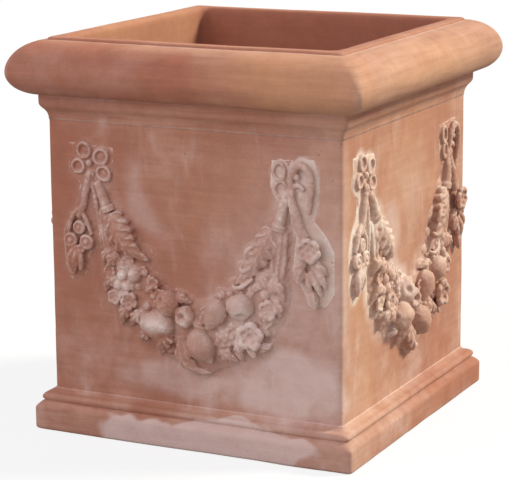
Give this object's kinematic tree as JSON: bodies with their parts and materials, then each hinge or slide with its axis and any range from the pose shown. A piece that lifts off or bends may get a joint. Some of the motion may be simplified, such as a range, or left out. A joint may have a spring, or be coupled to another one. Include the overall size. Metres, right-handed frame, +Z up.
{
  "type": "cube planter",
  "caption": "Square terracotta planter with a thick rolled rim, a moulded plinth and a fruit garland in relief, hung from ribbon bows, on every side.",
  "frame": {"origin": "centre of the underside, on the surface that the planter stands on", "axes": "+Z up along the axis of the box, +X out of the right wall, -Y out of the front wall"},
  "size_m": [0.5, 0.5, 0.521],
  "materials": {
    "terracotta": "unglazed fired clay with lime bloom"
  },
  "bodies": {
    "root": {"floor_slab": "terracotta", "wall_right": "terracotta", "wall_back": "terracotta", "wall_left": "terracotta", "wall_front": "terracotta", "floor_coil_right": "terracotta", "floor_coil_back": "terracotta", "floor_coil_left": "terracotta", "floor_coil_front": "terracotta", "plinth_right": "terracotta", "plinth_back": "terracotta", "plinth_left": "terracotta", "plinth_front": "terracotta", "neck_right": "terracotta", "neck_back": "terracotta", "neck_left": "terracotta", "neck_front": "terracotta", "rim_right": "terracotta", "rim_back": "terracotta", "rim_left": "terracotta", "rim_front": "terracotta", "festoon_right": "terracotta", "festoon_back": "terracotta", "festoon_left": "terracotta", "festoon_front": "terracotta", "drop_left_right": "terracotta", "drop_left_back": "terracotta", "drop_left_left": "terracotta", "drop_left_front": "terracotta", "drop_right_right": "terracotta", "drop_right_back": "terracotta", "drop_right_left": "terracotta", "drop_right_front": "terracotta", "corner_coil_right_back": "terracotta", "corner_coil_back_left": "terracotta", "corner_coil_left_front": "terracotta", "corner_coil_front_right": "terracotta"}
  },
  "joints": []
}
